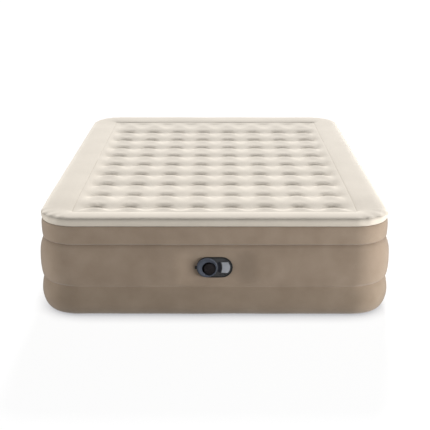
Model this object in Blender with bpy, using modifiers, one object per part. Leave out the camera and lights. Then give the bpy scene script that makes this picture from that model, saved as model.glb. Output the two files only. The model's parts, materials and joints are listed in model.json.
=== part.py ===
"""Queen-size raised air mattress with a built-in electric pump.

Metres, +Z up. The origin is at the centre of the footprint, on the floor.
The pump end faces -Y.
"""
import math

import bmesh
import bpy

# ---------------------------------------------------------------- driving sizes
WIDTH = 1.52                 # outer size along X, inflated
LENGTH = 2.03                # outer size along Y, inflated
HEIGHT = 0.457               # 18 inch raised bed
CORNER_R = 0.17              # plan radius of the corners
SKIN = 0.0006                # flocked vinyl
GAP = 0.0003                 # clearance between pieces that touch

BORDER_SIDE = 0.15           # width of the plain border beside the quilted panel,
BORDER_PUMP = 0.115          # and at the pump end
BORDER_HEAD = 0.17           # and at the far end
CROWN_IN = 0.058             # the border differs from end to end only inside this inset
SEAM_Z = 0.411               # light top piece meets the darker side band
SEAM_IN = 0.012              # the top tier is a little narrower than the middle one
UPPER_CREASE_Z = 0.328       # girdle seam where the middle membrane is welded in
LOWER_CREASE_Z = 0.143       # girdle seam where the lower membrane is welded in
UPPER_CREASE_IN = 0.020      # how far each girdle seam pulls the side in
LOWER_CREASE_IN = 0.011
FOOT_IN = 0.050              # rounding at the floor, seen in plan

DENT_COLUMNS = 8
DENT_ROWS = 9
DENT_PITCH_X = 0.1474
DENT_PITCH_Y = 0.181
ROWS_MIDDLE = -0.0905        # the rows of dents lie nearer the pump end
DENT_Z = 0.4215              # where the tie panels hold the top sheet down
PUFF_Z = 0.446               # top of the puffs between the dents
PANEL_RIM_Z = 0.444          # seam between the panel and its border

PUMP_Z = 0.231               # height of the pump's centre line
FACE_IN = 0.011              # the rigid pump holds the wall this far back
PUMP_HALF_X = 0.077          # bezel, half its width
PUMP_HALF_Z = 0.046          # bezel, half its height, which is its end radius
PATCH_HALF_X = 0.20          # wall strip that carries the pump
KNOB_X = -0.0315             # dial axis, from the pump's centre
KNOB_R = 0.0435
DOOR_AXIS_UP = -0.0315       # cord door hinge line, from the pump's centre
DOOR_AXIS_OUT = 0.0023       # how far that line stands out from the wall
DOOR_AXIS_MID = 0.0355       # middle of the hinge pin along the hinge line
DOOR_LOW = DOOR_AXIS_UP + 0.0011      # lower edge of the door, clear of the plate as it swings
DOOR_BAY_LOW = DOOR_AXIS_UP - 0.0026  # lower edge of its opening, below the hinge barrel
DOOR_HIGH = 0.0270           # upper edge of the door
DOOR_OUTER_X = 0.0305        # centre of the door's round outer edge
DOOR_OUTER_R = 0.0378
DOOR_HOLLOW_R = 0.0615       # the door's hollow edge, round the dial axis
PIN_BORE_R = 0.0008          # bore that every hinge pin runs in
FLAP_AXIS_UP = 0.0185        # check valve hinge line
FLAP_AXIS_OUT = -0.1161
VALVE_X = 0.036
TUB_LEFT, TUB_RIGHT = 0.0315, 0.0580
TUB_LOW, TUB_HIGH = -0.0255, 0.0225

SIDES = 28                   # facets of a round piece
SMALL_SIDES = 12             # facets of a pin or a screw

# ---------------------------------------------------------------- clean start
for old in list(bpy.data.objects):
    bpy.data.objects.remove(old, do_unlink=True)

parts = bpy.data.collections.new("air_mattress")
cutters = bpy.data.collections.new("cutters")
bpy.context.scene.collection.children.link(parts)
bpy.context.scene.collection.children.link(cutters)


# ---------------------------------------------------------------- materials
def linear(value):
    """One sRGB channel, 0 to 255, as linear light."""
    value = value / 255.0
    return value / 12.92 if value <= 0.04045 else ((value + 0.055) / 1.055) ** 2.4


def material(name, colour, roughness, metallic=0.0):
    made = bpy.data.materials.new(name)
    made.use_nodes = True
    shader = made.node_tree.nodes["Principled BSDF"]
    shader.inputs["Base Color"].default_value = [linear(c) for c in colour] + [1.0]
    shader.inputs["Roughness"].default_value = roughness
    shader.inputs["Metallic"].default_value = metallic
    made.diffuse_color = shader.inputs["Base Color"].default_value
    return made


CREAM = material("cream_flock", (236, 228, 214), 0.95)
TAUPE = material("taupe_flock", (160, 142, 124), 0.95)
VINYL = material("plain_vinyl", (196, 190, 180), 0.5)
FIBRE = material("fibre_panel", (226, 224, 218), 0.8)
GREY = material("charcoal_plastic", (62, 63, 66), 0.45)
SLATE = material("slate_plastic", (92, 97, 108), 0.4)
BLACK = material("black_plastic", (26, 27, 29), 0.5)
LABEL = material("label_plastic", (170, 174, 180), 0.4)
RUBBER = material("seal_rubber", (36, 36, 36), 0.8)
STEEL = material("steel", (180, 182, 186), 0.3, 1.0)
COPPER = material("armature_copper", (150, 92, 60), 0.4, 1.0)


# ---------------------------------------------------------------- object helpers
def register(name, data, look, parent=None, at=(0, 0, 0), group=parts):
    made = bpy.data.objects.new(name, data)
    group.objects.link(made)
    made.data.materials.append(look)
    made.parent = parent
    made.location = at
    return made


def mesh_from(bm, name):
    bmesh.ops.recalc_face_normals(bm, faces=bm.faces)
    mesh = bpy.data.meshes.new(name)
    bm.to_mesh(mesh)
    bm.free()
    return mesh


def solidify(made, thickness):
    """Thicken an open surface behind its outward side."""
    mod = made.modifiers.new("thickness", "SOLIDIFY")
    mod.thickness = thickness
    mod.offset = -1.0
    mod.use_even_offset = True
    return made


def cut(made, cutter, operation="DIFFERENCE"):
    cutter.display_type = "WIRE"
    cutter.hide_render = True
    mod = made.modifiers.new(operation.lower(), "BOOLEAN")
    mod.operation = operation
    mod.solver = "EXACT"
    mod.object = cutter
    return made


def loft(name, rows, look, closed=True):
    """Skin a list of rows of points, each row a ring or an open line."""
    bm = bmesh.new()
    made_rows = [[bm.verts.new(p) for p in row] for row in rows]
    count = len(rows[0])
    last = count if closed else count - 1
    for low, high in zip(made_rows, made_rows[1:]):
        for i in range(last):
            j = (i + 1) % count
            bm.faces.new((low[i], low[j], high[j], high[i]))
    mesh = bpy.data.meshes.new(name)
    bm.to_mesh(mesh)
    bm.free()
    return register(name, mesh, look)


def turned(name, profile, look, parent=None, at=(0, 0, 0), sides=SIDES, ring=False, group=parts):
    """Revolve a profile of (radius, height) points about the local Z axis."""
    mesh = bpy.data.meshes.new(name)
    edges = [(i, i + 1) for i in range(len(profile) - 1)]
    if ring:
        edges.append((len(profile) - 1, 0))
    mesh.from_pydata([(r, 0, h) for r, h in profile], edges, [])
    made = register(name, mesh, look, parent, at, group)
    mod = made.modifiers.new("turn", "SCREW")
    mod.axis = "Z"
    mod.angle = math.tau
    mod.steps = sides
    mod.render_steps = sides
    mod.use_merge_vertices = True
    mod.merge_threshold = 0.00001
    mod.use_smooth_shade = False
    return made


def cylinder(name, radius, low, high, look, parent=None, at=(0, 0, 0), sides=SIDES, group=parts):
    profile = [(0, high), (radius, high), (radius, low), (0, low)]
    return turned(name, profile, look, parent, at, sides, group=group)


def tube(name, outer, inner, low, high, look, parent=None, at=(0, 0, 0), sides=SIDES):
    profile = [(inner, high), (outer, high), (outer, low), (inner, low)]
    return turned(name, profile, look, parent, at, sides, ring=True)


def box(name, low, high, look, parent=None, group=parts):
    bm = bmesh.new()
    bmesh.ops.create_cube(bm, size=1.0)
    size = [b - a for a, b in zip(low, high)]
    centre = [(a + b) / 2 for a, b in zip(low, high)]
    bmesh.ops.scale(bm, vec=size, verts=bm.verts)
    return register(name, mesh_from(bm, name), look, parent, centre, group)


def plate(name, outlines, low, high, look, parent=None, at=(0, 0, 0), as_mesh=False, group=parts):
    """A flat piece from closed outlines; the first is its edge, the rest are holes."""
    curve = bpy.data.curves.new(name, "CURVE")
    curve.dimensions = "2D"
    curve.fill_mode = "BOTH"
    curve.extrude = (high - low) / 2
    for outline in outlines:
        spline = curve.splines.new("POLY")
        spline.points.add(len(outline) - 1)
        for point, (x, y) in zip(spline.points, outline):
            point.co = (x, y, 0, 1)
        spline.use_cyclic_u = True
    place = (at[0], at[1], at[2] + (low + high) / 2)
    made = register(name, curve, look, parent, place, group)
    if not as_mesh:
        return made
    bpy.context.view_layer.update()
    graph = bpy.context.evaluated_depsgraph_get()
    mesh = bpy.data.meshes.new_from_object(made.evaluated_get(graph))
    bm = bmesh.new()
    bm.from_mesh(mesh)
    bmesh.ops.remove_doubles(bm, verts=bm.verts, dist=0.00001)
    bmesh.ops.recalc_face_normals(bm, faces=bm.faces)
    bm.to_mesh(mesh)
    bm.free()
    bpy.data.objects.remove(made)
    made = register(name, mesh, look, parent, place, group)
    return made


def joined_cutter(name, shapes, parent=None):
    """One cutter made of several separate boxes or drums.

    Each shape is ("box", low, high) or ("drum", centre, radius, low, high).
    """
    bm = bmesh.new()
    for shape in shapes:
        if shape[0] == "box":
            low, high = shape[1], shape[2]
            fresh = bmesh.ops.create_cube(bm, size=1.0)["verts"]
            size = [b - a for a, b in zip(low, high)]
            centre = [(a + b) / 2 for a, b in zip(low, high)]
            bmesh.ops.scale(bm, vec=size, verts=fresh)
        else:
            (x, y), radius, low_z, high_z = shape[1:]
            fresh = bmesh.ops.create_cone(
                bm, cap_ends=True, segments=SMALL_SIDES,
                radius1=radius, radius2=radius, depth=high_z - low_z)["verts"]
            centre = (x, y, (low_z + high_z) / 2)
        bmesh.ops.translate(bm, vec=centre, verts=fresh)
    return register(name, mesh_from(bm, name), GREY, parent, group=cutters)


# ---------------------------------------------------------------- outlines
def arc(cx, cy, radius, start, end, steps):
    """Points of an arc, angles in degrees."""
    return [(cx + radius * math.cos(math.radians(start + (end - start) * i / steps)),
             cy + radius * math.sin(math.radians(start + (end - start) * i / steps)))
            for i in range(steps + 1)]


def circle(cx, cy, radius, sides=SMALL_SIDES):
    return arc(cx, cy, radius, 0, 360, sides)[:-1]


def stadium(half_x, half_y, steps=10):
    """Round-ended outline about the origin."""
    straight = half_x - half_y
    right = arc(straight, 0, half_y, -90, 90, steps)
    left = arc(-straight, 0, half_y, 90, 270, steps)
    return right + left


def rounded_box(half_x, half_y, radius, steps=5):
    points = []
    for turn, (sx, sy) in enumerate(((1, -1), (1, 1), (-1, 1), (-1, -1))):
        start = -90 + 90 * turn
        cx, cy = sx * (half_x - radius), sy * (half_y - radius)
        points += arc(cx, cy, radius, start, start + 90, steps)
    return points


def ring_row(inset, z):
    """One level of the side: the plan outline drawn in by inset."""
    border = min(inset / BORDER_SIDE, 1.0)
    near = inset * (1 - border) + inset * BORDER_PUMP / BORDER_SIDE * border
    inward = max(inset - CROWN_IN, 0) / (BORDER_SIDE - CROWN_IN)
    far = near + (BORDER_HEAD - BORDER_PUMP) * inward
    radius = max(CORNER_R * (1 - border) + 0.004 * border, 0.004)
    outline = rounded_box(WIDTH / 2 - inset, (LENGTH - near - far) / 2, radius)
    return [(x, y + (near - far) / 2, z) for x, y in outline]


def band(name, profile, look):
    """A strip of skin that runs right round the bed, from (inset, z) points."""
    return solidify(loft(name, [ring_row(i, z) for i, z in profile], look), SKIN)


# ---------------------------------------------------------------- envelope
MIDDLE_PROFILE = [
    (LOWER_CREASE_IN, LOWER_CREASE_Z + GAP), (0.003, 0.160), (0.0, 0.195),
    (0.0, 0.262), (0.007, 0.302), (UPPER_CREASE_IN, UPPER_CREASE_Z - GAP)]


def quilted_panel():
    """Top sheet: puffs between the dents where the tie panels pull it down."""
    half_x = WIDTH / 2 - BORDER_SIDE - GAP
    near_y = -LENGTH / 2 + BORDER_PUMP + GAP
    far_y = LENGTH / 2 - BORDER_HEAD - GAP
    columns = [-half_x] + grid_lines(DENT_COLUMNS, DENT_PITCH_X) + [half_x]
    rows = [near_y] + [ROWS_MIDDLE + y for y in grid_lines(DENT_ROWS, DENT_PITCH_Y)]
    rows += [rows[-1] + DENT_PITCH_Y / 2, far_y]
    points = []
    for j, y in enumerate(rows):
        line = []
        for i, x in enumerate(columns):
            rim = i in (0, len(columns) - 1) or j in (0, len(rows) - 1)
            corner = i in (0, len(columns) - 1) and j in (0, len(rows) - 1)
            dent = i % 2 == 1 and j % 2 == 1
            z = PANEL_RIM_Z if rim else DENT_Z if dent else PUFF_Z
            pull = 0.997 if corner else 1.0
            line.append((x * pull, y * pull, z))
        points.append(line)
    return solidify(loft("top_sheet", points, CREAM, closed=False), SKIN)


def grid_lines(dents, pitch):
    """Lines through every dent and halfway between, about zero."""
    return [(k - (dents - 1)) * pitch / 2 for k in range(2 * dents - 1)]


def pump_hold(x, z):
    """1 where the rigid pump keeps the wall flat, fading to 0 around it."""
    dx = max(abs(x) - 0.084, 0.0) / 0.100
    dz = max(abs(z - PUMP_Z) - 0.052, 0.0) / 0.045
    away = min(math.hypot(dx, dz), 1.0)
    return 0.5 + 0.5 * math.cos(math.pi * away)


def wall_inset(z):
    for (in_a, z_a), (in_b, z_b) in zip(MIDDLE_PROFILE, MIDDLE_PROFILE[1:]):
        if z <= z_b:
            return in_a + (in_b - in_a) * (z - z_a) / (z_b - z_a)
    return MIDDLE_PROFILE[-1][0]


def pump_patch():
    """The stretch of the middle band that carries the pump, with its hole."""
    xs = [-PATCH_HALF_X, -0.16, -0.12, -0.084, -0.04, 0, 0.04, 0.084, 0.12, 0.16, PATCH_HALF_X]
    levels = [LOWER_CREASE_Z + GAP, 0.160, PUMP_Z - 0.052, PUMP_Z, PUMP_Z + 0.052, 0.302,
              UPPER_CREASE_Z - GAP]
    rows = []
    for z in levels:
        inset = wall_inset(z)
        held = [inset + (FACE_IN - inset) * pump_hold(x, z) for x in xs]
        rows.append([(x, -LENGTH / 2 + i, z) for x, i in zip(xs, held)])
    made = solidify(loft("pump_wall_patch", rows, TAUPE, closed=False), SKIN)
    hole = plate("wall_hole_cutter", [stadium(0.0745, 0.0435)], -0.02, 0.02, GREY,
                 pump_frame, as_mesh=True, group=cutters)
    return cut(made, hole)


def middle_wall():
    """The middle band, open at the front where the pump patch closes it."""
    rows = []
    end_x = PATCH_HALF_X + GAP
    for inset, z in MIDDLE_PROFILE:
        ring = ring_row(inset, z)
        front_y = -LENGTH / 2 + inset
        rows.append([(end_x, front_y, z)] + ring + [(-end_x, front_y, z)])
    return solidify(loft("middle_side_wall", rows, TAUPE, closed=False), SKIN)


def envelope():
    quilted_panel()
    band("top_border", [
        (SEAM_IN, SEAM_Z + GAP), (0.015, 0.431), (0.029, 0.446), (0.058, 0.4545),
        (0.092, HEIGHT), (0.126, 0.453), (BORDER_SIDE, PANEL_RIM_Z)], CREAM)
    band("upper_side_wall", [
        (UPPER_CREASE_IN, UPPER_CREASE_Z + GAP), (0.013, 0.342), (0.009, 0.368),
        (0.009, 0.392), (SEAM_IN, SEAM_Z - GAP)], TAUPE)
    middle_wall()
    pump_patch()
    band("lower_side_wall", [
        (FOOT_IN, 0.0010), (0.030, 0.0028), (0.014, 0.018), (0.005, 0.048),
        (0.004, 0.085), (0.006, 0.120), (LOWER_CREASE_IN, LOWER_CREASE_Z - GAP)], TAUPE)
    foot = FOOT_IN + 0.0005
    plate("bottom_sheet", [rounded_box(WIDTH / 2 - foot, LENGTH / 2 - foot, CORNER_R - foot)],
          0.0, 0.0008, TAUPE)


def membrane(name, z, inset, vent_radius):
    """Level inner sheet with round vents that join the air chambers."""
    edge = rounded_box(WIDTH / 2 - inset, LENGTH / 2 - inset, CORNER_R - inset)
    vents = [circle(sx * 0.45, sy * 0.88, vent_radius, 16) for sx in (-1, 1) for sy in (-1, 1)]
    plate(name, [edge] + vents, z - SKIN / 2, z + SKIN / 2, VINYL)


def upright_panel(name, y, low, high, half_x, windows, look):
    """A vertical panel across the bed, with windows between its bands."""
    span = high - low
    edge = [(-half_x, -span / 2), (half_x, -span / 2), (half_x, span / 2), (-half_x, span / 2)]
    holes = []
    for x_low, x_high, margin in windows:
        top = span / 2 - margin
        holes.append([(x_low, -top), (x_high, -top), (x_high, top), (x_low, top)])
    made = plate(name, [edge] + holes, -SKIN / 2, SKIN / 2, look)
    made.rotation_euler = (math.radians(90), 0, 0)
    made.location = (0, y, (low + high) / 2)


def inner_structure():
    membrane("middle_membrane", UPPER_CREASE_Z, UPPER_CREASE_IN + 0.003, 0.045)
    membrane("lower_membrane", LOWER_CREASE_Z, LOWER_CREASE_IN + 0.003, 0.045)
    tie_low = UPPER_CREASE_Z + SKIN
    tie_high = DENT_Z - SKIN - 2 * GAP
    half = DENT_COLUMNS / 2 * DENT_PITCH_X - 0.03
    for row in range(DENT_ROWS):
        y = ROWS_MIDDLE + (row - (DENT_ROWS - 1) / 2) * DENT_PITCH_Y
        gaps = []
        for column in range(DENT_COLUMNS - 1):
            middle = (column - (DENT_COLUMNS - 2) / 2) * DENT_PITCH_X
            gaps.append((middle - 0.052, middle + 0.052, 0.012))
        upright_panel(f"fibre_tie_panel_{row + 1}", y, tie_low, tie_high, half, gaps, FIBRE)
    vents = [(-0.45, -0.35, 0.06), (-0.05, 0.05, 0.06), (0.35, 0.45, 0.06)]
    for index, y in enumerate((-0.66, -0.22, 0.22, 0.66)):
        upright_panel(f"middle_beam_{index + 1}", y, LOWER_CREASE_Z + SKIN,
                      UPPER_CREASE_Z - SKIN, 0.68, vents, VINYL)
    vents = [(a, b, 0.04) for a, b, _ in vents]
    for index, y in enumerate((-0.44, 0.0, 0.44)):
        upright_panel(f"lower_beam_{index + 1}", y, 0.0012, LOWER_CREASE_Z - SKIN, 0.66,
                      vents, VINYL)


# ---------------------------------------------------------------- pump shell
def bezel():
    made = plate("pump_bezel", [stadium(PUMP_HALF_X, PUMP_HALF_Z), stadium(0.0715, 0.0405)],
                 0.0003, 0.0043, GREY, pump_frame, as_mesh=True)
    tab = box("index_tab_cutter", (-0.0835, -0.0075, 0.0003), (-0.074, 0.0065, 0.0040), GREY,
              pump_frame, cutters)
    return cut(made, tab, "UNION")


def hinge_rod(name, radius, half, parent, middle=0.0, look=GREY, group=cutters):
    """Cylinder along a hinge line, which is the X axis of its frame."""
    made = cylinder(name, radius, -half, half, look, parent, sides=SMALL_SIDES, group=group)
    made.rotation_euler = (0, math.radians(90), 0)
    made.location = (middle, 0, 0)
    return made


def door_outline(low, grow):
    """Cord door: hollow edge round the dial, round outer edge, flat at the hinge."""
    high = DOOR_HIGH + grow
    hollow = DOOR_HOLLOW_R - grow
    outer = DOOR_OUTER_R + grow
    a_low = math.degrees(math.asin(low / hollow))
    a_high = math.degrees(math.asin(high / hollow))
    b_low = math.degrees(math.asin(low / outer))
    b_high = math.degrees(math.asin(high / outer))
    return (arc(DOOR_OUTER_X, 0, outer, b_low, b_high, 8)
            + arc(KNOB_X, 0, hollow, a_high, a_low, 6))


def face_plate():
    edge = stadium(0.0712, 0.0402)
    dial_hole = circle(KNOB_X, 0, 0.0367, SIDES)
    bay = door_outline(DOOR_BAY_LOW, 2 * GAP)
    made = plate("face_plate", [edge, dial_hole, bay], 0.0003, 0.0033, GREY, pump_frame,
                 as_mesh=True)
    hollow = arc(KNOB_X, 0, 0.0592, -24, 26, 6) + arc(KNOB_X, 0, 0.0470, 26, -24, 6)
    groove = plate("groove_cutter", [hollow], 0.0018, 0.0050, GREY, pump_frame,
                   as_mesh=True, group=cutters)
    cut(made, groove)
    scoop = joined_cutter("finger_notch_cutter", [("drum", (0.0500, 0.0285), 0.0085, 0.0012, 0.006)],
                          pump_frame)
    cut(made, scoop)
    return cut(made, hinge_rod("hinge_bore_cutter", PIN_BORE_R, 0.0180, door_frame,
                               DOOR_AXIS_MID))


def housing():
    """Deep tub that hangs inside the bed, open at the front."""
    outline = stadium(0.0728, 0.0418)
    small = stadium(0.0700, 0.0390)
    rows = [[(x, y, 0.0) for x, y in outline], [(x, y, -0.108) for x, y in outline],
            [(x, y, -0.112) for x, y in small]]
    made = loft("pump_housing", rows, BLACK)
    bm = bmesh.new()
    bm.from_mesh(made.data)
    bm.verts.ensure_lookup_table()
    bm.faces.new([bm.verts[2 * len(outline) + i] for i in range(len(outline))])
    bmesh.ops.recalc_face_normals(bm, faces=bm.faces)
    if sum(f.normal.z for f in bm.faces) > 0:
        bmesh.ops.reverse_faces(bm, faces=bm.faces)
    bm.to_mesh(made.data)
    bm.free()
    made.parent = pump_frame
    solidify(made, 0.0020)
    port = joined_cutter("outlet_port_cutter", [("drum", (VALVE_X, 0), 0.0166, -0.12, -0.10)],
                         pump_frame)
    return cut(made, port)


def cord_tub():
    """Pocket behind the door where the mains lead is stowed."""
    cx, cy = (TUB_LEFT + TUB_RIGHT) / 2, (TUB_LOW + TUB_HIGH) / 2
    half_x, half_y = (TUB_RIGHT - TUB_LEFT) / 2, (TUB_HIGH - TUB_LOW) / 2
    made = plate("cord_tub", [rounded_box(half_x, half_y, 0.004, 3)], -0.066, -0.0003, GREY,
                 pump_frame, (cx, cy, 0), as_mesh=True)
    wall = 0.0015
    hollow = plate("cord_tub_cutter", [rounded_box(half_x - wall, half_y - wall, 0.0025, 3)],
                   -0.0645, 0.005, GREY, pump_frame, (cx, cy, 0), as_mesh=True, group=cutters)
    cut(made, hollow)
    entry = joined_cutter("gland_hole_cutter", [("drum", (cx, -0.010), 0.0045, -0.07, -0.06)],
                          pump_frame)
    cut(made, entry)
    turned("cord_gland", [(0.0022, -0.0600), (0.0060, -0.0610), (0.0060, -0.0642),
                          (0.0042, -0.0642), (0.0042, -0.0740), (0.0022, -0.0740)],
           RUBBER, pump_frame, (cx, -0.010, 0), sides=16, ring=True)


def pump_shell():
    plate("pump_weld_flange", [stadium(0.0950, 0.0650), stadium(0.0731, 0.0421)],
          -0.0024, -SKIN - GAP, VINYL, pump_frame)
    plate("housing_gasket", [stadium(0.0800, 0.0490), stadium(0.0731, 0.0421)],
          -0.0047, -0.0027, RUBBER, pump_frame)
    bezel()
    face_plate()
    housing()
    cord_tub()


# ---------------------------------------------------------------- dial and diverter
def dial():
    """The dial turns about its own axis and carries the air diverter behind it."""
    back, front = 0.0048, 0.0108
    made = turned("control_knob", [
        (0, front - 0.0040), (0.0300, front - 0.0030), (0.0380, front), (0.0410, front - 0.0003),
        (KNOB_R, front - 0.0028), (KNOB_R, back + 0.0006), (KNOB_R - 0.0008, back), (0, back)],
        SLATE, dial_frame, sides=40)
    well = cylinder("knob_well_cutter", 0.0290, 0.0, 0.02, GREY, dial_frame,
                    (0.0075, -0.0050, 0), group=cutters)
    cut(made, well)
    grille = turned("knob_grille", [
        (0, 0.0092), (0.0050, 0.0092), (0.0240, 0.0070), (0.0245, 0.0062), (0.0245, 0.0050),
        (0, 0.0050)], BLACK, dial_frame, (0.0105, -0.0060, 0))
    slots = [("box", (0.008, -0.0009, 0.000), (0.0215, 0.0009, 0.012))]
    cut(grille, spoke_cutter("grille_slot_cutter", slots, 12, dial_frame, (0.0105, -0.0060, 0)))
    drum = turned("diverter_drum", [
        (0.0346, 0.0045), (0.0362, 0.0045), (0.0362, -0.0340), (0.0053, -0.0340),
        (0.0053, -0.0324), (0.0346, -0.0324)], BLACK, dial_frame, ring=True)
    windows = [("box", (0.030, -0.012, -0.026), (0.040, 0.012, -0.008))]
    cut(drum, spoke_cutter("drum_window_cutter", windows, 2, dial_frame))
    holes = [("drum", (0.020, 0), 0.007, -0.04, -0.03)]
    cut(drum, spoke_cutter("drum_floor_cutter", holes, 5, dial_frame))
    cylinder("knob_stem", 0.0050, -0.0386, 0.0047, BLACK, dial_frame, sides=16)


def spoke_cutter(name, shapes, count, parent, at=(0, 0, 0)):
    """Repeat cutter shapes round the local Z axis."""
    made = joined_cutter(name, shapes, parent)
    bm = bmesh.new()
    for turn in range(count):
        before = len(bm.verts)
        bm.from_mesh(made.data)
        bm.verts.ensure_lookup_table()
        fresh = bm.verts[before:]
        swing = math.tau * (turn + 0.25) / count
        for vert in fresh:
            x, y = vert.co.x, vert.co.y
            vert.co.x = x * math.cos(swing) - y * math.sin(swing)
            vert.co.y = x * math.sin(swing) + y * math.cos(swing)
    bm.to_mesh(made.data)
    bm.free()
    made.location = at
    return made


# ---------------------------------------------------------------- cord door
def cord_door():
    """Flap over the cord pocket, hinged along its lower edge."""
    shift = [(x, y - DOOR_AXIS_UP) for x, y in door_outline(DOOR_LOW, 0.0)]
    made = plate("cord_door", [shift], 0.0006 - DOOR_AXIS_OUT, 0.0033 - DOOR_AXIS_OUT, GREY,
                 door_frame, as_mesh=True)
    cut(made, hinge_rod("door_barrel_cutter", 0.0016, 0.0090, door_frame, DOOR_AXIS_MID), "UNION")
    cut(made, hinge_rod("door_bore_cutter", PIN_BORE_R, 0.0200, door_frame, DOOR_AXIS_MID))
    hinge_rod("door_hinge_pin", 0.0006, 0.0175, door_frame, DOOR_AXIS_MID, STEEL, parts)
    label = arc(DOOR_OUTER_X, 0, 0.0352, -46, 42, 8) + arc(KNOB_X, 0, 0.0640, 21, -21, 6)
    shift = [(x, y - DOOR_AXIS_UP) for x, y in label]
    plate("door_label", [shift], 0.0036 - DOOR_AXIS_OUT, 0.0042 - DOOR_AXIS_OUT, LABEL,
          door_frame)


# ---------------------------------------------------------------- blower
def blower():
    """Bulkhead, blower casing, impeller and motor on one axis behind the dial."""
    tub_hole = [(TUB_LEFT - 0.0004, TUB_LOW - 0.0004), (TUB_RIGHT + 0.0004, TUB_LOW - 0.0004),
                (TUB_RIGHT + 0.0004, TUB_HIGH + 0.0004), (TUB_LEFT - 0.0004, TUB_HIGH + 0.0004)]
    inlets = [circle(KNOB_X + 0.019 * math.cos(a), 0.019 * math.sin(a), 0.0055)
              for a in (math.tau * k / 6 for k in range(6))]
    screw_spots = [(KNOB_X + 0.0335 * math.cos(a), 0.0335 * math.sin(a))
                   for a in (math.tau * (k + 0.5) / 4 for k in range(4))]
    screw_holes = [circle(x, y, 0.0012) for x, y in screw_spots]
    plate("pump_bulkhead", [stadium(0.0705, 0.0395), tub_hole] + inlets + screw_holes,
          -0.0425, -0.0400, GREY, pump_frame)
    tube("rotary_switch", 0.0100, 0.0053, -0.0397, -0.0345, GREY, dial_frame)
    casing = turned("blower_casing", [
        (0.0310, -0.0428), (0.0360, -0.0428), (0.0360, -0.0640), (0.0025, -0.0640),
        (0.0025, -0.0620), (0.0310, -0.0620)], GREY, dial_frame, ring=True)
    bores = [("drum", (x - KNOB_X, y), 0.0012, -0.0520, -0.0400) for x, y in screw_spots]
    cut(casing, joined_cutter("casing_bore_cutter", bores, dial_frame))
    outlet = [("box", (0.0, 0.016, -0.0590), (0.045, 0.027, -0.0480))]
    cut(casing, joined_cutter("casing_outlet_cutter", outlet, dial_frame))
    for index, (x, y) in enumerate(screw_spots):
        turned(f"bulkhead_screw_{index + 1}", [
            (0, -0.0380), (0.0018, -0.0382), (0.0022, -0.0397), (0.0009, -0.0397),
            (0.0009, -0.0505), (0, -0.0510)], STEEL, pump_frame, (x, y, 0), SMALL_SIDES)
    impeller = turned("impeller", [
        (0.0019, -0.0470), (0.0060, -0.0470), (0.0290, -0.0500), (0.0290, -0.0590),
        (0.0019, -0.0590)], SLATE, dial_frame, ring=True)
    vanes = [("box", (0.0080, -0.0026, -0.0572), (0.0320, 0.0026, -0.0400))]
    cut(impeller, spoke_cutter("impeller_slot_cutter", vanes, 9, dial_frame))
    tube("motor_end_cap", 0.0210, 0.0055, -0.0668, -0.0643, STEEL, dial_frame)
    tube("front_bearing", 0.0052, 0.0019, -0.0668, -0.0643, STEEL, dial_frame, sides=16)
    turned("motor_can", [
        (0.0198, -0.0671), (0.0210, -0.0671), (0.0210, -0.1040), (0.0055, -0.1040),
        (0.0055, -0.1015), (0.0198, -0.1015)], STEEL, dial_frame, ring=True)
    tube("rear_bearing", 0.0052, 0.0019, -0.1040, -0.1015, STEEL, dial_frame, sides=16)
    teeth = []
    for k in range(8):
        mid = 45 * k
        teeth += arc(0, 0, 0.0165, mid - 17, mid + 17, 2)
        teeth += [(0.0100 * math.cos(math.radians(mid + 22.5)),
                   0.0100 * math.sin(math.radians(mid + 22.5)))]
    plate("motor_armature", [teeth, circle(0, 0, 0.0019)], -0.0960, -0.0735, COPPER, dial_frame)
    cylinder("motor_shaft", 0.0016, -0.1055, -0.0465, STEEL, dial_frame, sides=SMALL_SIDES)


# ---------------------------------------------------------------- check valve
def check_valve():
    """Flap that lets air into the bed and closes when the blower stops."""
    seat = turned("valve_seat", [
        (0.0125, -0.1080), (0.0155, -0.1080), (0.0155, -0.1123), (0.0200, -0.1123),
        (0.0200, -0.1145), (0.0125, -0.1145)], GREY, pump_frame, (VALVE_X, 0, 0), ring=True)
    lugs = [("box", (VALVE_X + s - 0.0015, 0.0155, -0.1180), (VALVE_X + s + 0.0015, 0.0210, -0.1130))
            for s in (-0.0075, 0.0075)]
    cut(seat, joined_cutter("seat_lug_cutter", lugs, pump_frame), "UNION")
    cut(seat, hinge_rod("seat_bore_cutter", PIN_BORE_R, 0.0120, flap_frame))
    disc = arc(0, -FLAP_AXIS_UP, 0.0160, 110, 430, 18) + [(0.0045, 0.0), (-0.0045, 0.0)]
    flap = plate("valve_flap", [disc], -0.0005, 0.0012, RUBBER, flap_frame, as_mesh=True)
    cut(flap, hinge_rod("flap_barrel_cutter", 0.0013, 0.0050, flap_frame), "UNION")
    cut(flap, hinge_rod("flap_bore_cutter", PIN_BORE_R, 0.0120, flap_frame))
    hinge_rod("flap_hinge_pin", 0.0005, 0.0100, flap_frame, look=STEEL, group=parts)


# ---------------------------------------------------------------- assembly
def empty(name, parent, at):
    made = bpy.data.objects.new(name, None)
    parts.objects.link(made)
    made.parent = parent
    made.location = at
    return made


# Inside the pump frame X runs right, Y runs up and Z runs out of the wall.
pump_frame = empty("pump_frame", None, (0, -LENGTH / 2 + FACE_IN, PUMP_Z))
pump_frame.rotation_euler = (math.radians(90), 0, 0)
dial_frame = empty("dial_frame", pump_frame, (KNOB_X, 0, 0))
door_frame = empty("door_frame", pump_frame, (0, DOOR_AXIS_UP, DOOR_AXIS_OUT))
flap_frame = empty("flap_frame", pump_frame, (VALVE_X, FLAP_AXIS_UP, FLAP_AXIS_OUT))

envelope()
inner_structure()
pump_shell()
dial()
cord_door()
blower()
check_valve()
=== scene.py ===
"""Looks of the raised air mattress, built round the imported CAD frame."""
import json
import math

import bmesh
import bpy
import numpy as np
from mathutils import Matrix, Vector, noise


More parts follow.
